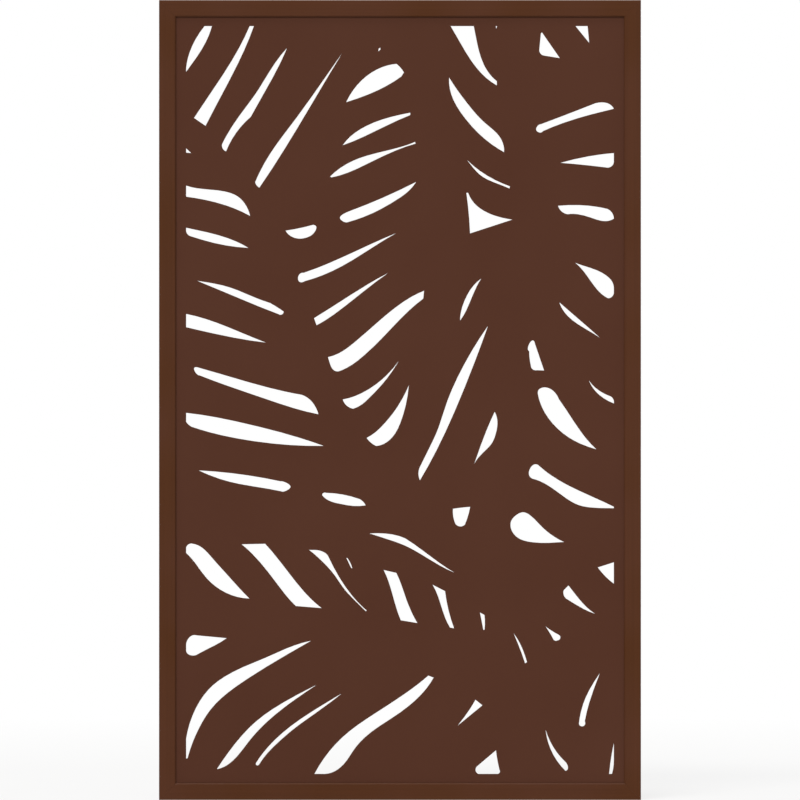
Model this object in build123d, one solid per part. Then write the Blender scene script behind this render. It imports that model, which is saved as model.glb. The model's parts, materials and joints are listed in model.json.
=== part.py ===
from build123d import *
import os

# Privacy fence panel: a laser-cut sheet with palm-leaf openwork in a mitred frame of hollow extrusions.
# X is to the right, the front faces -Y and Z is up; the origin is the middle of the panel's foot.

# Frame
overall_width = 918.0
overall_height = 1524.0
frame_depth = 20.0
face_width = 32.0
wall = 2.0
edge_radius = 0.8
inner_bevel = 2.2
mitre_gap = 0.1

# Sheet
sheet_thickness = 3.0
sheet_setback = 5.0
sheet_grip = 8.0
sheet_corner_radius = 3.0
side_border = 19.5
end_border = 17.5

# Gasket, and the clearance that every sliding fit in the panel has on each side
gasket_wall = 1.6
gasket_recess = 1.0
fit_clearance = 0.15

# Corner keys, and the countersunk holes in the frame's rear for the screws that hold them
key_leg = 60.0
key_chamfer = 1.5
screw_hole_diameter = 4.3
screw_head_diameter = 8.3
screw_inset = 42.0

# Holes for the post brackets, and weep slots in the bottom rail
bracket_hole_diameter = 5.0
bracket_inset = 150.0
weep_slot_length = 20.0
weep_slot_width = 5.0
weep_inset = 200.0
weep_stagger = 60.0

# Sizes that follow from the ones above
sheet_middle = sheet_setback + sheet_thickness / 2 - frame_depth / 2
gasket_width = sheet_thickness + 2 * gasket_wall + 2 * fit_clearance
groove_width = gasket_width + 2 * fit_clearance
groove_depth = sheet_grip + gasket_wall + 2 * fit_clearance
groove_floor = face_width - groove_depth
chamber_width = groove_floor - 2 * wall
chamber_middle = wall + chamber_width / 2
sheet_width = overall_width - 2 * face_width + 2 * sheet_grip
sheet_height = overall_height - 2 * face_width + 2 * sheet_grip
field_width = overall_width - 2 * (face_width + side_border)
field_height = overall_height - 2 * (face_width + end_border)

# The openings are drawn in millimetres from the lower left corner of the pattern's field. Each one is a gap
# between two leaflets, given as its corners in order. A list between two corners holds the points that the
# side between them bends through: none is straight, one an arc, more a spline. A list at the end bends the
# side that closes the outline. A gap that runs off the field is cut straight.
top_left_gaps = [
    [(35, 1425), [(18, 1400), (5, 1370)], (0, 1345), (0, 1338), [(16, 1360), (35, 1390)], (49, 1425)],
    [(121, 1425), [(99, 1380), (62, 1320)], (15, 1250), (37, 1235), [(71, 1300), (111, 1380)], (129, 1425)],
    [(192, 1383), [(167, 1351), (135, 1300), (98.5, 1250)], (68.5, 1200), [(70.5, 1190.5)], (76, 1186.3),
     [(94, 1220)], (123, 1252), [(150, 1300), (177, 1350)]],
    [(297, 1373), [(281, 1350), (202.5, 1240), (165.5, 1190)], (131.6, 1127.7),
     [(134, 1122)], (139.6, 1117.3),
     [(193.2, 1200), (265, 1320)]],
    [(0, 1192), (9.5, 1183), (0, 1184)],
]
top_gaps = [
    [(366, 1377), (367, 1382), (370, 1384), (370, 1380)],
    [(305, 1280), [(328, 1315), (368, 1344.5)], (401, 1353), [(410, 1344)], (415, 1337), (410, 1329),
     [(370, 1305), (350, 1296)]],
    [(504, 1425), (548, 1425), [(555, 1390), (568, 1350)], (592, 1320), (592, 1312), [(558, 1340),
     (530, 1380)]],
    [(501, 1327), [(507, 1290), (531, 1250), (569, 1210)], (605.8, 1184.8),
     [(603.5, 1202), (596.7, 1215), (570, 1240), (534, 1280)]],
    [(590, 1425), (592.5, 1425), (591, 1420)],
    [(678, 1413), (712, 1364), (681, 1369), [(675, 1373)], (673, 1380), (676, 1411)],
    [(742, 1425), (765, 1425), (768, 1393)],
]
left_gaps = [
    [(0, 1121), [(24, 1115.5), (70, 1110.5), (99.5, 1099.5), (116, 1079.5)], (121.8, 1063.4),
     [(80, 1082), (50, 1090.8)], (0, 1100)],
    [(0, 1040.7), [(50, 1029.6), (80, 1020.6)], (118.6, 1002.3), [(100, 1003.8), (70, 1008.2), (30, 1018)],
     (10, 1024.2), [(2.5, 1028.8)], (0, 1034)],
    [(21.5, 939.6), [(50, 935), (80, 928), (120, 912.4)], (160, 897.3), [(174, 889)], (185.8, 881),
     [(184.5, 877.3)], (176, 876.2), [(130, 894.3), (90, 911)]],
    [(0, 876.5), [(60, 859), (110, 838.8)], (151.5, 822), [(100, 829.7), (50, 839.8)], (0, 851.3)],
    [(22, 774.6), [(110, 749), (160, 735.3)], (220, 722.4), [(233, 715.5), (245, 701.8)], (252, 685.4),
     [(210, 695.6), (150, 715.2), (80, 739.2)], (25, 759.7), [(16.5, 767.3), (15.2, 773)]],
    [(0, 688), [(50, 680.8), (120, 666), (180, 650.9)], (262, 625.1), [(200, 626.6), (130, 634),
     (60, 647.2)],
     (10, 661.7), [(4, 666.2)], (0, 671)],
    [(24.5, 578.3), [(80, 573.8)], (180, 557.5), [(193, 553.6), (198.8, 547.3), (193.5, 541.2)],
     (181, 538.6), [(120, 549.3), (80, 557.5), (50, 567.2)]],
    [(266, 535.6), [(290, 533.7)], (331, 523.5), [(337, 518.9)], (342, 511.7),
     [(318, 510.7), (295, 514.3), (270, 522)], (259.2, 531), [(260.6, 534.6)]],
]
centre_gaps = [
    [(298.5, 1198), [(309.5, 1211.3), (340, 1233), (380, 1249)], (427, 1260), (427, 1255.5),
     [(400, 1244), (350, 1219.8)]],
    [(274.2, 1138.2), [(290, 1152), (321, 1169.7), (366, 1183.8)], (436.3, 1204.3), (437, 1201),
     [(400, 1188.2), (350, 1165), (320, 1150.6)], (277, 1136.8)],
    [(312, 1072.6), [(380, 1100.2)], (438.2, 1128), [(420, 1107.4), (400, 1093.3), (360, 1070.8)],
     (307, 1051.2), [(297, 1054.2), (293, 1059.6), (298, 1065.8)]],
    [(189.5, 1035.2), [(211, 1038.9)], (242, 1046.3),
     [(247.8, 1043), (244.5, 1032.3), (230, 1022.3), (216, 1020), (200, 1024.5)]],
    [(224, 954.8), [(260, 968.2), (300, 985.5)], (399.8, 1030.3), [(340, 993.5), (300, 969.3),
     (260, 950.3)],
     (226, 939), [(214, 940.2), (213.5, 947.2)]],
    [(243.8, 868.5), [(300, 904), (340, 929.2)], (384, 954), [(340, 921), (300, 889.3), (270, 867.6)],
     (248.5, 855)],
    [(453.3, 920.6), (451.8, 905.8), [(400, 858.5), (370, 827), (340, 798.5), (310, 776)], (291, 767.3),
     [(281, 769.7), (275, 779)], (270.3, 794.1), [(290, 801), (320, 821.7), (380, 873.6), (430, 909.5)]],
    [(298.5, 713.5), [(320, 719.3), (350, 734.3), (380, 757.8)], (405, 786.5),
     [(380, 750.3), (350, 717.6), (330, 701)], (318, 696), [(308, 700.2)]],
    [(344, 640.2), [(360, 650.5), (380, 670), (400, 695.5)], (424.3, 740.2),
     [(420, 710), (410, 674), (397, 647), (382, 632)], (362, 624.9), [(352.5, 630.9)]],
]
inner_right_gaps = [
    [(535.4, 1169.7), [(552, 1155), (590, 1131)], (617, 1119.7), (616, 1115.6),
     [(590, 1126), (562, 1140), (547, 1155)]],
    [(534, 1107.3), (537.3, 1107.3), [(550.6, 1085.8), (580, 1066.8)], (621.3, 1056.2), [(590, 1046)],
     (541, 1030), [(538.3, 1071)]],
    [(562.2, 943.8), [(540, 920.2), (530.4, 901.5), (525.3, 887)], (522, 863.8), [(530.4, 877),
     (540, 897.5)]],
    [(575, 853.3), [(530, 780.6), (495, 702.8), (480, 657.5), (460, 614.3)], (447, 588), [(443, 568)],
     (445.5, 559.6), [(480, 622.5), (520, 710.5), (545, 772.5)]],
    [(682, 768.8), (664.7, 819.5), [(660, 825.9), (655, 821.5)], (653.6, 806), [(654.5, 792)],
     (657.5, 774.5), [(660.5, 770.9)], (668, 769.3)],
    [(588, 690), [(593.1, 672), (590.2, 649), (583, 631), (570, 616.3)], (549, 590.5),
     [(560, 622.2), (575, 661)]],
    [(508.4, 505.2), [(525, 507.4)], (541.2, 508.9), [(536, 488)], (531, 475), [(521, 471.7)],
     (512.5, 478), [(509, 490.5)]],
]
right_gaps = [
    [(676, 1238), [(730, 1258.5)], (780, 1278), [(790, 1279.6), (802, 1278.3)], (815, 1267.5),
     [(760, 1253.5), (720, 1241)], (680, 1225), [(672, 1222.6), (667.2, 1227), (669.5, 1234.5)]],
    [(713.5, 1164.5), [(750, 1173.5), (780, 1179)], (815, 1183), (815, 1167), [(811.5, 1158.8)],
     (800, 1155.7), [(760, 1160.3)]],
    [(708.7, 1082.6), [(760, 1083.3), (790, 1079.4)], (803, 1076.5), [(811, 1070)], (815, 1058),
     [(798, 1053.4), (770, 1060.5), (745, 1066.7)], (727, 1066.5), [(715, 1072.3)]],
    [(741.3, 973.8), [(770, 964.3), (800, 950.2), (810.5, 940)], (815, 925), (815, 917), [(811.5, 909.5)],
     (803.5, 906.5), [(790, 916), (770, 940.5)]],
    [(711.2, 898.5), [(733, 879.5), (762, 854.5)], (788.7, 831), [(752, 853.5), (724, 876)]],
    [(767.8, 749.3), [(780, 735.6), (800, 723)], (809, 719.3), [(813.7, 714.3)], (815, 706),
     [(800, 713.2), (780, 729.4)]],
    [(670.3, 724), [(672.8, 733), (681, 736.4), (692, 734.6), (702, 727.5)], (710, 714.4),
     [(740, 669.7), (760, 641.8)], (781.5, 618.7), [(760, 625.7), (730, 640.6), (700, 666), (680, 694.8)]],
    [(671, 588.4), [(690, 572.8), (720, 554)], (815, 509), (815, 506.3), [(775, 507.4),
     (750, 511.7), (710, 535.6)],
     (660, 562.6), [(653.3, 570.5), (656, 583), (664, 589.8)]],
    [(619.3, 482), [(633, 495.8), (641, 498.5), (660, 489), (680, 468.8), (700, 452.9)], (720, 442),
     [(690, 440.3), (660, 441.5), (630, 451.6), (619.5, 466)]],
]
low_row_gaps = [
    [(0, 421), (0, 431), [(3.5, 436.7)], (10.5, 439), [(27, 433.3), (50, 411), (80, 377.7)], (120.5, 334.2),
     [(90, 339.5), (60, 354.5), (40, 372), (20, 398.3)]],
    [(106, 437.5), (150.5, 438.5), [(190, 390.4), (230, 341.5)], (258, 316), (209, 320),
     [(190, 340.6), (170, 366.8), (150, 392.5)]],
    [(234.5, 426.8), [(250, 426.3), (262, 422.8)], (270, 416), [(290, 377.6), (320, 335.2)], (344, 311.3),
     (342.5, 309.8), [(321.5, 330.5), (302, 351.5), (282, 380), (261.5, 403)]],
    [(305.2, 411.8), (307.5, 411), [(312.5, 402.8)], (316.6, 392.3), (314.8, 392)],
    [(349.5, 458.3), [(380, 458), (400, 454.8)], (418, 448.5), [(450, 426.3), (480, 404)], (511, 383.6),
     [(450, 417.2), (420, 433.8), (390, 445.3)]],
    [(376.5, 388.5), (400.5, 383), [(410, 360.5), (420, 331.3), (430, 307.2)], (440.5, 287.5), (409, 292.8),
     [(400, 318), (390, 353.3)]],
    [(469.8, 360.3), (493.3, 348.3), [(500, 311.5)], (510.5, 277.5), (503, 278.8), [(490, 307.5),
     (480, 338.5)]],
    [(559.8, 307.6), (568.4, 302.8), [(569.3, 290)], (568.5, 274.5), (566.3, 274.5), [(563.8, 288)]],
    [(624, 267.8), [(635, 250.8), (644, 230.2)], (649.5, 213), (646, 210.7), [(637.5, 235)]],
]
bottom_right_gaps = [
    [(784.5, 393.5), (815, 403.2), (815, 362.5), [(800, 375.3)]],
    [(728.5, 359), [(740, 344.3), (755, 326)], (779, 305.3), [(760, 313), (740, 324.3)], (724.5, 334),
     [(719.5, 341)], (719.5, 350)],
    [(685.3, 280.6), [(697, 272.4)], (710, 265), [(713, 259.5)], (708, 254.6), [(703, 254)], (699.2, 257.8),
     [(691, 272)]],
    [(788.5, 192), [(770, 163), (760, 142.4), (752, 117)], (748.5, 96), [(752.3, 91)], (759.5, 100),
     [(767, 132), (775, 156.8)]],
    [(685, 84), [(700, 50.5)], (722, 23.5), [(727, 15.5), (727, 9)], (723, 5.8), [(700, 36)]],
    [(806, 0), [(808.5, 22)], (815, 59), (815, 27), [(814.3, 14)], (811.5, 0)],
]
bottom_left_gaps = [
    [(0, 235), (0, 243), [(2.5, 255), (10, 263)], (20, 264), (77, 258.7), [(62, 249), (40, 237.7)],
     (22, 228.2), [(11, 225.7), (2.5, 229.5)]],
    [(238, 253.8), [(190, 238.5), (150, 220.8), (110, 204.2), (80, 189.2), (50, 168), (16, 120)], (0, 67),
     (0, 29.5), (2.5, 29.5), [(12.3, 60), (25.9, 90), (45.4, 121.3), (110, 176.8), (200, 232)]],
    [(248.5, 169.8), [(190, 138.8), (130, 97.2), (87.3, 50)], (58.5, 9),
     [(75, 15), (90, 26.3), (120, 62.8), (170, 113.3), (225, 154)]],
    [(296, 153.2), [(240, 119), (200, 91.5), (146, 39.2)], (133, 20.5), [(134.3, 16.6)], (138.5, 17.5),
     [(150, 33.8), (180, 64.5), (210, 89.6), (250, 118.4)]],
    [(244.5, 0), [(260, 25.8), (300, 71.8), (360, 115.4), (430, 162.2)], (461.5, 187.3), (471.5, 183.5),
     [(450, 153.7), (400, 111.8), (340, 69.3), (320, 46.7), (303, 21.8), (288, 8)], (264, 0)],
    [(551.3, 141.3), (564.5, 130.8), [(540, 110.6)], (517.5, 92.2), [(530, 108.2), (540, 122.5)]],
    [(590.3, 45), [(593.5, 24)], (597, 8), [(597, 2)], (594, 0), (557, 0), [(551.5, 7)], (555, 15)],
]
leaf_gaps = (
    top_left_gaps + top_gaps + left_gaps + centre_gaps + inner_right_gaps
    + right_gaps + low_row_gaps + bottom_right_gaps + bottom_left_gaps
)
gap_corners = [item for outline in leaf_gaps for item in outline if isinstance(item, tuple)]
drawn_width = max(across for across, up in gap_corners)
drawn_height = max(up for across, up in gap_corners)


def field_point(point):
    """A drawn point, stretched with the field and set on the sheet's front face."""
    across, up = point
    x = across / drawn_width * field_width - field_width / 2
    z = up / drawn_height * field_height + face_width + end_border
    return Vector(x, sheet_middle - sheet_thickness / 2, z)


def outline_side(start, bends, end):
    """One side of an opening: straight, an arc, or a spline through its bends."""
    points = [field_point(point) for point in (start, *bends, end)]
    if not bends:
        return Line(*points)
    if len(bends) == 1:
        return ThreePointArc(*points)
    return Spline(*points)


def opening_outline(outline):
    """The closed outline of one gap between leaflets."""
    sides = []
    start = outline[0]
    bends = []
    for item in outline[1:] + outline[:1]:
        if isinstance(item, list):
            bends = item
        else:
            sides.append(outline_side(start, bends, item))
            start = item
            bends = []
    return Wire(sides)


def infill_panel():
    """The cut sheet, which reaches into the frame's groove on all four sides."""
    blank = RectangleRounded(sheet_width, sheet_height, sheet_corner_radius)
    front_y = sheet_middle - sheet_thickness / 2
    front_face = Pos(0, front_y, overall_height / 2) * Rot(90, 0, 0) * blank
    openings = [opening_outline(outline) for outline in leaf_gaps]
    cut_face = Face(front_face.face().outer_wire(), openings)
    return extrude(cut_face, sheet_thickness, dir=(0, 1, 0))


def bar_section():
    """Hollow frame section, outer edge at zero: rounded outside, bevelled at the groove's mouth."""
    outline = Rectangle(frame_depth, face_width, align=(Align.CENTER, Align.MIN))
    outline = fillet(outline.vertices().group_by(Axis.Y)[0], edge_radius)
    outline = chamfer(outline.vertices().group_by(Axis.Y)[-1], inner_bevel)
    mouth = Pos(sheet_middle, face_width)
    mouth_align = (Align.CENTER, Align.MAX)
    groove = mouth * Rectangle(groove_width, groove_depth, align=mouth_align)
    groove_walls = mouth * Rectangle(groove_width + 2 * wall, groove_depth + wall, align=mouth_align)
    chamber = offset(outline, -wall) - groove_walls
    return outline - groove - chamber


def gasket_section():
    """U-shaped strip that lines the groove and grips the sheet."""
    height = groove_depth - fit_clearance - gasket_recess
    foot = Pos(sheet_middle, groove_floor + fit_clearance)
    base_align = (Align.CENTER, Align.MIN)
    strip = foot * Rectangle(gasket_width, height, align=base_align)
    slot_width = sheet_thickness + 2 * fit_clearance
    slot = foot * Pos(0, gasket_wall) * Rectangle(slot_width, height, align=base_align)
    return strip - slot


def mitred_bar(section, length):
    """A section run along X and cut at 45 degrees at both ends, its outer edge on Z = 0."""
    run = Pos(-length / 2, 0, 0) * extrude(Plane.YZ * section, length)
    half_outer = length / 2 - mitre_gap / 2 * 2 ** 0.5
    half_inner = half_outer - face_width
    corners = [(-half_outer, 0), (half_outer, 0), (half_inner, face_width), (-half_inner, face_width)]
    mitres = extrude(Plane.XZ * make_face(Polyline(corners, close=True)), frame_depth, both=True)
    return run & mitres


def four_sides(section):
    """The section mitred round the panel, as the bottom, top, left and right bars."""
    across = mitred_bar(section, overall_width)
    upright = mitred_bar(section, overall_height)
    half_width = overall_width / 2
    half_height = overall_height / 2
    return {
        "bottom": across,
        "top": Pos(0, 0, overall_height) * Rot(0, 180, 0) * across,
        "left": Pos(-half_width, 0, half_height) * Rot(0, 90, 0) * upright,
        "right": Pos(half_width, 0, half_height) * Rot(0, -90, 0) * upright,
    }


def countersunk_hole():
    """Cutter along Z for a 90 degree countersink whose mouth lies at Z = 0, and the hole below it."""
    mouth_radius = screw_head_diameter / 2
    hole_radius = screw_hole_diameter / 2
    cone_depth = mouth_radius - hole_radius
    tip = -cone_depth - wall
    profile = Polyline(
        (0, 0), (mouth_radius, 0), (hole_radius, -cone_depth), (hole_radius, tip), (0, tip), close=True
    )
    return revolve(Plane.XZ * make_face(profile), Axis.Z)


def corner_places():
    """Each corner's name, with the directions along X and Z that lead into the panel from it."""
    half_width = overall_width / 2
    return {
        "bottom_left": (Vector(-half_width, 0, 0), 1, 1),
        "bottom_right": (Vector(half_width, 0, 0), -1, 1),
        "top_left": (Vector(-half_width, 0, overall_height), 1, -1),
        "top_right": (Vector(half_width, 0, overall_height), -1, -1),
    }


def screw_holes():
    """The two rear screw holes at each corner, one in its rail and one in its stile."""
    cutter = Rot(-90, 0, 0) * countersunk_hole()
    rear = frame_depth / 2
    holes = []
    for point, inward_x, inward_z in corner_places().values():
        for across, up in ((screw_inset, chamber_middle), (chamber_middle, screw_inset)):
            holes.append(Pos(point + Vector(inward_x * across, rear, inward_z * up)) * cutter)
    return holes


def corner_key(point, inward_x, inward_z):
    """The L-shaped key that joins two bars inside their chambers."""
    near = wall + fit_clearance
    width = chamber_width - 2 * fit_clearance
    far = near + key_leg
    step = near + width
    outline = [(near, near), (far, near), (far, step), (step, step), (step, far), (near, far)]
    corners = [(point.X + inward_x * x, point.Z + inward_z * z) for x, z in outline]
    half_depth = frame_depth / 2 - wall - fit_clearance
    key = extrude(Plane.XZ * make_face(Polyline(corners, close=True)), half_depth, both=True)
    faces = key.faces().sort_by(Axis.Y)
    return chamfer(faces[0].edges() + faces[-1].edges(), key_chamfer)


def bracket_holes():
    """Rear holes down both stiles for the brackets on the posts: near each end and at mid-height."""
    hole = Rot(90, 0, 0) * Cylinder(bracket_hole_diameter / 2, 2 * wall)
    x = overall_width / 2 - chamber_middle
    heights = [bracket_inset, overall_height / 2, overall_height - bracket_inset]
    return [Pos(side * x, frame_depth / 2, z) * hole for side in (-1, 1) for z in heights]


def weep_slots():
    """Slots that drain the groove into the bottom rail's chamber and the chamber to the ground."""
    slot = extrude(SlotOverall(weep_slot_length, weep_slot_width), wall, both=True)
    outlet_x = overall_width / 2 - weep_inset
    inlet_x = outlet_x - weep_stagger
    outlets = [Pos(side * outlet_x, 0, wall / 2) * slot for side in (-1, 1)]
    inlets = [Pos(side * inlet_x, sheet_middle, groove_floor - wall / 2) * slot for side in (-1, 1)]
    return outlets + inlets


def main():
    bars = four_sides(bar_section())
    gaskets = four_sides(gasket_section())
    corner_holes = screw_holes()
    stile_holes = corner_holes + bracket_holes()

    parts = {
        "infill_panel": infill_panel(),
        "bottom_rail": bars["bottom"] - (corner_holes + weep_slots()),
        "top_rail": bars["top"] - corner_holes,
        "left_stile": bars["left"] - stile_holes,
        "right_stile": bars["right"] - stile_holes,
    }
    for side, gasket in gaskets.items():
        parts[f"gasket_{side}"] = gasket
    for corner, place in corner_places().items():
        parts[f"corner_key_{corner}"] = corner_key(*place)

    os.makedirs("parts", exist_ok=True)
    for name, solid in parts.items():
        export_step(solid, f"parts/{name}.step")


main()
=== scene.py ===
import json
import math

import bmesh
import bpy
from mathutils import Matrix, Vector


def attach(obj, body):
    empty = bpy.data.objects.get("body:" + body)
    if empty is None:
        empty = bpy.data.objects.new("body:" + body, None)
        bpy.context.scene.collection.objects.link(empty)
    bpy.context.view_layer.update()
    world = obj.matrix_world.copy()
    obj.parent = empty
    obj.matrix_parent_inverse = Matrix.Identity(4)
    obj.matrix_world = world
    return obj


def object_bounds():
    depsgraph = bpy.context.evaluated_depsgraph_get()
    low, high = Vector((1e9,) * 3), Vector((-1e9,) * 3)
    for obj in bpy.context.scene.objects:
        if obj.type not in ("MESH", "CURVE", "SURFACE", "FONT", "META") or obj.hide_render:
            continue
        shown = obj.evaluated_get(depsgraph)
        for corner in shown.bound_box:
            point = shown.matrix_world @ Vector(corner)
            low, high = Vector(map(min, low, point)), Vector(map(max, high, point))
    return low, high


# Privacy fence panel: laser-cut sheet with palm-leaf openwork, held in a mitred hollow frame.
# Metres throughout; X is to the right, the front faces -Y and Z is up.

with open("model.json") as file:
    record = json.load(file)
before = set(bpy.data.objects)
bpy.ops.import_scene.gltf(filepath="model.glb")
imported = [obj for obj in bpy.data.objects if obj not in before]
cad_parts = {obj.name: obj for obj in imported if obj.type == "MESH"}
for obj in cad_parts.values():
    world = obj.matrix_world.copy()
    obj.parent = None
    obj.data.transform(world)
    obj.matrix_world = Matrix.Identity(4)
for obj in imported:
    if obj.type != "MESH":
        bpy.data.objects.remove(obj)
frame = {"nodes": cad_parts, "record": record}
cad_low, cad_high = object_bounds()
mm = 0.001

panel_width = cad_high.x - cad_low.x
panel_height = cad_high.z - cad_low.z
rear = cad_high.y
front = cad_low.y
mounts = {mount["name"]: mount for mount in frame["record"]["mounts"]}
bracket_spread = mounts["rear_bracket_corners"]["dims"]["spacing_x_mm"] * mm
chamber_middle = (panel_width - bracket_spread) / 2

# Countersunk corner screws, as the frame's rear holes take them
screw_inset = 42 * mm
screw_head_radius = 3.8 * mm
screw_shank_radius = 2.0 * mm
screw_length = 14 * mm
head_sink = 0.1 * mm


def linear(colour):
    """An sRGB hex colour as linear red, green, blue and alpha."""
    channels = [int(colour[place:place + 2], 16) / 255 for place in (1, 3, 5)]
    return [c / 12.92 if c <= 0.04045 else ((c + 0.055) / 1.055) ** 2.4 for c in channels] + [1.0]


def add(tree, kind, values=None, links=None):
    """Adds a node: values set sockets, by name or number, or settings; links feed sockets from outputs."""
    node = tree.nodes.new(kind)
    for name, value in (values or {}).items():
        if isinstance(name, int) or name in node.inputs:
            node.inputs[name].default_value = value
        else:
            setattr(node, name, value)
    for name, output in (links or {}).items():
        tree.links.new(output, node.inputs[name])
    return node


def new_material(name):
    """An empty material, with its node tree and its output node."""
    material = bpy.data.materials.new(name)
    material.use_nodes = True
    tree = material.node_tree
    tree.nodes.clear()
    return material, tree, add(tree, "ShaderNodeOutputMaterial")


def seen_directly(tree):
    """An output that is 1 where the camera or a reflection sees a surface, and 0 for the light it casts."""
    path = add(tree, "ShaderNodeLightPath").outputs
    mirrored = add(tree, "ShaderNodeMath", {"operation": "MAXIMUM"},
                   {0: path["Is Camera Ray"], 1: path["Is Glossy Ray"]})
    cleared = add(tree, "ShaderNodeMath", {"operation": "MAXIMUM"},
                  {0: mirrored.outputs["Value"], 1: path["Is Transmission Ray"]})
    return cleared.outputs["Value"]


def matt_powder_coat():
    """Matt polyester powder coat, baked on the cut sheet: even brown, a fine grain and hardly any shine."""
    material, tree, output = new_material("matt_powder_coat")
    place = add(tree, "ShaderNodeTexCoord").outputs["Object"]
    # A real coat's grain is about 0.2 mm; this is as coarse as it needs to be to show
    grain_size = 1.6 * mm
    cloud_size = 260 * mm
    grain = add(tree, "ShaderNodeTexNoise", {"Scale": 1 / grain_size, "Detail": 2.0, "Roughness": 0.6},
                {"Vector": place})
    cloud = add(tree, "ShaderNodeTexNoise", {"Scale": 1 / cloud_size, "Detail": 2.0}, {"Vector": place})
    shade = add(tree, "ShaderNodeValToRGB", {}, {"Fac": cloud.outputs["Fac"]})
    shade.color_ramp.elements[0].position = 0.3
    shade.color_ramp.elements[0].color = linear("#512e1f")
    shade.color_ramp.elements[1].position = 0.7
    shade.color_ramp.elements[1].color = linear("#543122")
    fleck = add(tree, "ShaderNodeMapRange",
                {"From Min": 0.25, "From Max": 0.75, "To Min": 0.94, "To Max": 1.06},
                {"Value": grain.outputs["Fac"]})
    colour = add(tree, "ShaderNodeVectorMath", {"operation": "MULTIPLY"},
                 {0: shade.outputs["Color"], 1: fleck.outputs["Result"]})
    gloss = add(tree, "ShaderNodeMapRange",
                {"From Min": 0.3, "From Max": 0.7, "To Min": 0.58, "To Max": 0.7},
                {"Value": grain.outputs["Fac"]})
    bump = add(tree, "ShaderNodeBump", {"Strength": 0.35, "Distance": 0.05 * mm},
               {"Height": grain.outputs["Fac"]})
    coat = add(tree, "ShaderNodeBsdfPrincipled", {"IOR": 1.5, "Specular IOR Level": 0.12},
               {"Base Color": colour.outputs["Vector"], "Roughness": gloss.outputs["Result"],
                "Normal": bump.outputs["Normal"]})
    tree.links.new(coat.outputs["BSDF"], output.inputs["Surface"])
    return material


def satin_powder_coat(bars, run):
    """Satin powder coat on extruded bars: red-brown with orange peel, faint die lines and soft broad bands
    of painted reflection in the colour.

    The die lines run along the bar, so they turn at the mitres; run is the axis that the bars lie on.
    """
    material, tree, output = new_material(f"satin_powder_coat_{bars}")
    place = add(tree, "ShaderNodeTexCoord").outputs["Object"]
    peel_size = 3.2 * mm
    reflection_band_size = 190 * mm
    # Real die lines are under 1 mm apart; these are as coarse as they need to be to show
    line_spacing = 4 * mm
    line_length = 500 * mm
    stretch = Vector((1, 1, 1))
    stretch["XYZ".index(run)] = line_spacing / line_length
    drawn = add(tree, "ShaderNodeVectorMath", {"operation": "MULTIPLY", 1: stretch}, {0: place})
    peel = add(tree, "ShaderNodeTexNoise", {"Scale": 1 / peel_size, "Detail": 1.0}, {"Vector": place})
    # Painted reflection: soft broad bands of lighter and darker colour stand in for the surroundings
    # mirrored in the satin coat
    reflection_band = add(tree, "ShaderNodeTexNoise", {"Scale": 1 / reflection_band_size, "Detail": 1.5}, {"Vector": place})
    lines = add(tree, "ShaderNodeTexNoise", {"Scale": 1 / line_spacing, "Detail": 2.0},
                {"Vector": drawn.outputs["Vector"]})
    # The ramp turns the painted reflection bands into lighter and darker brown
    shade = add(tree, "ShaderNodeValToRGB", {}, {"Fac": reflection_band.outputs["Fac"]})
    shade.color_ramp.elements[0].position = 0.32
    shade.color_ramp.elements[0].color = linear("#502c13")
    shade.color_ramp.elements[1].position = 0.6
    shade.color_ramp.elements[1].color = linear("#54301d")
    streak = add(tree, "ShaderNodeMapRange",
                 {"From Min": 0.3, "From Max": 0.7, "To Min": 0.955, "To Max": 1.045},
                 {"Value": lines.outputs["Fac"]})
    colour = add(tree, "ShaderNodeVectorMath", {"operation": "MULTIPLY"},
                 {0: shade.outputs["Color"], 1: streak.outputs["Result"]})
    gloss = add(tree, "ShaderNodeMapRange",
                {"From Min": 0.3, "From Max": 0.7, "To Min": 0.36, "To Max": 0.48},
                {"Value": peel.outputs["Fac"]})
    bump = add(tree, "ShaderNodeBump", {"Strength": 0.3, "Distance": 0.04 * mm},
               {"Height": peel.outputs["Fac"]})
    coat = add(tree, "ShaderNodeBsdfPrincipled", {"IOR": 1.5, "Specular IOR Level": 0.11},
               {"Base Color": colour.outputs["Vector"], "Roughness": gloss.outputs["Result"],
                "Normal": bump.outputs["Normal"]})
    tree.links.new(coat.outputs["BSDF"], output.inputs["Surface"])
    return material


def gasket_rubber():
    """Extruded EPDM rubber: near black and dull, with a little pale dust in patches."""
    material, tree, output = new_material("gasket_rubber")
    place = add(tree, "ShaderNodeTexCoord").outputs["Object"]
    dust_size = 6 * mm
    dust = add(tree, "ShaderNodeTexNoise", {"Scale": 1 / dust_size, "Detail": 3.0}, {"Vector": place})
    shade = add(tree, "ShaderNodeValToRGB", {}, {"Fac": dust.outputs["Fac"]})
    shade.color_ramp.elements[0].position = 0.35
    shade.color_ramp.elements[0].color = linear("#171311")
    shade.color_ramp.elements[1].position = 0.75
    shade.color_ramp.elements[1].color = linear("#29221e")
    bump = add(tree, "ShaderNodeBump", {"Strength": 0.2, "Distance": 0.05 * mm},
               {"Height": dust.outputs["Fac"]})
    rubber = add(tree, "ShaderNodeBsdfPrincipled", {"Roughness": 0.75, "IOR": 1.5},
                 {"Base Color": shade.outputs["Color"], "Normal": bump.outputs["Normal"]})
    tree.links.new(rubber.outputs["BSDF"], output.inputs["Surface"])
    return material


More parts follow.
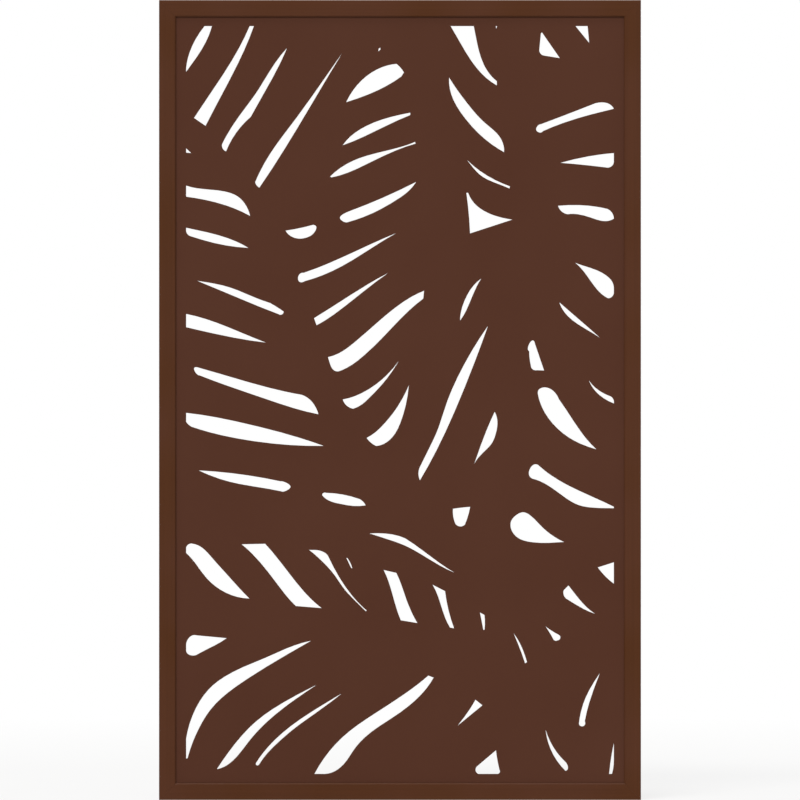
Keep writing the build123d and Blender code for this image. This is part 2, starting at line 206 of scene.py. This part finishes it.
def mill_aluminium():
    """Mill-finish aluminium of the corner keys: grey, a little oxidised, with an uneven sheen."""
    material, tree, output = new_material("mill_aluminium")
    place = add(tree, "ShaderNodeTexCoord").outputs["Object"]
    mottle_size = 2 * mm
    mottle = add(tree, "ShaderNodeTexNoise", {"Scale": 1 / mottle_size, "Detail": 3.0}, {"Vector": place})
    shade = add(tree, "ShaderNodeValToRGB", {}, {"Fac": mottle.outputs["Fac"]})
    shade.color_ramp.elements[0].color = linear("#6f7072")
    shade.color_ramp.elements[1].color = linear("#8f9092")
    gloss = add(tree, "ShaderNodeMapRange", {"To Min": 0.35, "To Max": 0.6},
                {"Value": mottle.outputs["Fac"]})
    metal = add(tree, "ShaderNodeBsdfPrincipled", {"Metallic": 1.0},
                {"Base Color": shade.outputs["Color"], "Roughness": gloss.outputs["Result"]})
    tree.links.new(metal.outputs["BSDF"], output.inputs["Surface"])
    return material


def painted_screw_head():
    """Brown enamel on the screws, rubbed a little by the driver, so the gloss varies over the head."""
    material, tree, output = new_material("painted_screw_head")
    place = add(tree, "ShaderNodeTexCoord").outputs["Object"]
    rub_size = 1.5 * mm
    rub = add(tree, "ShaderNodeTexNoise", {"Scale": 1 / rub_size, "Detail": 3.0}, {"Vector": place})
    shade = add(tree, "ShaderNodeValToRGB", {}, {"Fac": rub.outputs["Fac"]})
    shade.color_ramp.elements[0].position = 0.4
    shade.color_ramp.elements[0].color = linear("#4a2c1c")
    shade.color_ramp.elements[1].position = 0.8
    shade.color_ramp.elements[1].color = linear("#5c3c2a")
    gloss = add(tree, "ShaderNodeMapRange", {"To Min": 0.25, "To Max": 0.5}, {"Value": rub.outputs["Fac"]})
    enamel = add(tree, "ShaderNodeBsdfPrincipled", {"IOR": 1.5, "Specular IOR Level": 0.3},
                 {"Base Color": shade.outputs["Color"], "Roughness": gloss.outputs["Result"]})
    tree.links.new(enamel.outputs["BSDF"], output.inputs["Surface"])
    return material


def dress(node, material):
    """Gives a carried-over solid its finish."""
    piece = frame["nodes"][node]
    piece.data.materials.clear()
    piece.data.materials.append(material)


def countersunk_screw_mesh():
    """A flat-headed screw along Z, its cross recess at the top: a rim round the cross, then the body."""
    mesh = bpy.data.meshes.new("countersunk_screw")
    shape = bmesh.new()
    sides = 32
    turn = [2 * math.pi * step / sides for step in range(sides)]

    def ring(radius, z):
        return [shape.verts.new((radius * math.cos(a), radius * math.sin(a), z)) for a in turn]

    cone_depth = screw_head_radius - screw_shank_radius
    edge_land = 0.2 * mm
    point_length = 2.5 * mm
    point_radius = 0.4 * mm
    top = ring(screw_head_radius - edge_land / 2, 0)
    rings = [
        top,
        ring(screw_head_radius, -edge_land),
        ring(screw_shank_radius, -edge_land - cone_depth),
        ring(screw_shank_radius, point_length - screw_length),
        ring(point_radius, -screw_length),
    ]
    for upper, lower in zip(rings, rings[1:]):
        for step in range(sides):
            following = (step + 1) % sides
            shape.faces.new((upper[step], lower[step], lower[following], upper[following]))
    shape.faces.new(list(reversed(rings[-1])))

    arm = 2.1 * mm
    half_slot = 0.42 * mm
    recess_depth = 1.5 * mm
    recess_taper = 0.6
    quarter = [(arm, -half_slot), (arm, half_slot), (half_slot, half_slot)]
    cross = []
    for corner in range(4):
        spin = Matrix.Rotation(corner * math.pi / 2, 2)
        cross += [spin @ Vector(point) for point in quarter]
    mouth = [shape.verts.new((p.x, p.y, 0)) for p in cross]
    floor_points = [shape.verts.new((p.x * recess_taper, p.y * recess_taper, -recess_depth)) for p in cross]
    count = len(cross)
    for step in range(count):
        following = (step + 1) % count
        shape.faces.new((mouth[following], floor_points[following], floor_points[step], mouth[step]))
    shape.faces.new(floor_points)
    rim_edges = [shape.edges.get((top[step], top[(step + 1) % sides])) for step in range(sides)]
    mouth_edges = [shape.edges.get((mouth[step], mouth[(step + 1) % count])) for step in range(count)]
    bmesh.ops.triangle_fill(shape, use_beauty=True, edges=rim_edges + mouth_edges)
    bmesh.ops.recalc_face_normals(shape, faces=shape.faces)
    shape.to_mesh(mesh)
    shape.free()
    return mesh


def corner_screws(material):
    """The eight screws that hold the corner keys, in the rear of each bar's two ends."""
    mesh = countersunk_screw_mesh()
    mesh.materials.append(material)
    half_width = panel_width / 2
    for corner, (side, level, upward) in {
        "bottom_left": (-1, 0.0, 1), "bottom_right": (1, 0.0, 1),
        "top_left": (-1, panel_height, -1), "top_right": (1, panel_height, -1),
    }.items():
        for bar, (across, up) in {
            "rail": (screw_inset, chamber_middle), "stile": (chamber_middle, screw_inset),
        }.items():
            piece = bpy.data.objects.new(f"corner_screw_{corner}_{bar}", mesh)
            bpy.context.scene.collection.objects.link(piece)
            x = side * (half_width - across)
            z = level + upward * up
            # Rails' and stiles' screws were stopped at different turns
            driven_to = math.radians(37 * across / mm + 11 * up / mm)
            spin = Matrix.Rotation(driven_to, 4, "Z")
            face_rear = Matrix.Rotation(-math.pi / 2, 4, "X")
            piece.matrix_world = Matrix.Translation((x, rear - head_sink, z)) @ face_rear @ spin
            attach(piece, "root")


def studio_floor():
    """A plain pale floor that keeps the panel's soft shadow and fades to white beyond it."""
    reach = 60.0
    shadow_reach = 1.2 * panel_height
    mesh = bpy.data.meshes.new("studio_floor")
    corners = [(-reach, -reach, 0), (reach, -reach, 0), (reach, reach, 0), (-reach, reach, 0)]
    mesh.from_pydata(corners, [], [(0, 1, 2, 3)])
    floor = bpy.data.objects.new("studio_floor", mesh)
    bpy.context.scene.collection.objects.link(floor)
    material, tree, output = new_material("pale_studio_floor")
    place = add(tree, "ShaderNodeTexCoord").outputs["Object"]
    away = add(tree, "ShaderNodeVectorMath", {"operation": "LENGTH"}, {0: place})
    fade = add(tree, "ShaderNodeMapRange",
               {"From Min": shadow_reach, "From Max": 3 * shadow_reach, "To Min": 0.8, "To Max": 1.0},
               {"Value": away.outputs["Value"]})
    share = add(tree, "ShaderNodeMath", {"operation": "MULTIPLY"},
                {0: seen_directly(tree), 1: fade.outputs["Result"]})
    paint = add(tree, "ShaderNodeBsdfDiffuse", {"Color": linear("#e9e8e6")})
    white = add(tree, "ShaderNodeEmission", {"Color": linear("#ffffff"), "Strength": 1.0})
    mix = add(tree, "ShaderNodeMixShader", {},
              {0: share.outputs["Value"], 1: paint.outputs["BSDF"], 2: white.outputs["Emission"]})
    tree.links.new(mix.outputs["Shader"], output.inputs["Surface"])
    mesh.materials.append(material)


def white_surround(daylight):
    """The world: white where the camera or a reflection sees it, a plain grey daylight on the panel."""
    world = bpy.data.worlds.new("white_surround")
    bpy.context.scene.world = world
    world.use_nodes = True
    tree = world.node_tree
    tree.nodes.clear()
    output = add(tree, "ShaderNodeOutputWorld")
    soft = add(tree, "ShaderNodeBackground", {"Color": linear("#ffffff"), "Strength": daylight})
    white = add(tree, "ShaderNodeBackground", {"Color": linear("#ffffff"), "Strength": 1.0})
    mix = add(tree, "ShaderNodeMixShader", {},
              {0: seen_directly(tree), 1: soft.outputs["Background"], 2: white.outputs["Background"]})
    tree.links.new(mix.outputs["Shader"], output.inputs["Surface"])


def soft_lamp(name, place, spread, strength):
    """A broad, far-off soft light that falls evenly on the panel, from the side that place lies on."""
    lamp = bpy.data.lights.new(name, "SUN")
    lamp.angle = math.radians(spread)
    lamp.energy = strength
    holder = bpy.data.objects.new(name, lamp)
    bpy.context.scene.collection.objects.link(holder)
    holder.location = place
    aim = Vector((0, 0, panel_height / 2)) - Vector(place)
    holder.rotation_euler = aim.to_track_quat("-Z", "Y").to_euler()


def photo_camera():
    """A very long lens square on to the front, with the panel's height filling the picture."""
    lens = 500.0
    sensor = 36.0
    distance = panel_height * lens / sensor
    camera = bpy.data.cameras.new("photo_camera")
    camera.lens = lens
    camera.sensor_width = sensor
    camera.clip_end = 200.0
    holder = bpy.data.objects.new("photo_camera", camera)
    bpy.context.scene.collection.objects.link(holder)
    holder.location = (0, front - distance, panel_height / 2)
    holder.rotation_euler = (math.pi / 2, 0, 0)
    bpy.context.scene.camera = holder


sheet_finish = matt_powder_coat()
rail_finish = satin_powder_coat("rails", "X")
stile_finish = satin_powder_coat("stiles", "Z")
rubber_finish = gasket_rubber()
key_finish = mill_aluminium()

dress("infill_panel", sheet_finish)
for rail in ("bottom_rail", "top_rail"):
    dress(rail, rail_finish)
for stile in ("left_stile", "right_stile"):
    dress(stile, stile_finish)
for side in ("bottom", "top", "left", "right"):
    dress(f"gasket_{side}", rubber_finish)
for corner in ("bottom_left", "bottom_right", "top_left", "top_right"):
    dress(f"corner_key_{corner}", key_finish)
corner_screws(painted_screw_head())

studio_floor()
white_surround(0.22)
soft_lamp("key_light", (-1.8, -7.0, 6.6), 18.0, 1.6)
soft_lamp("overhead_light", (-0.6, -2.0, 8.0), 18.0, 0.9)
soft_lamp("rear_light", (3.0, 8.0, 2.6), 24.0, 1.6)
photo_camera()
bpy.context.scene.view_settings.view_transform = "Standard"
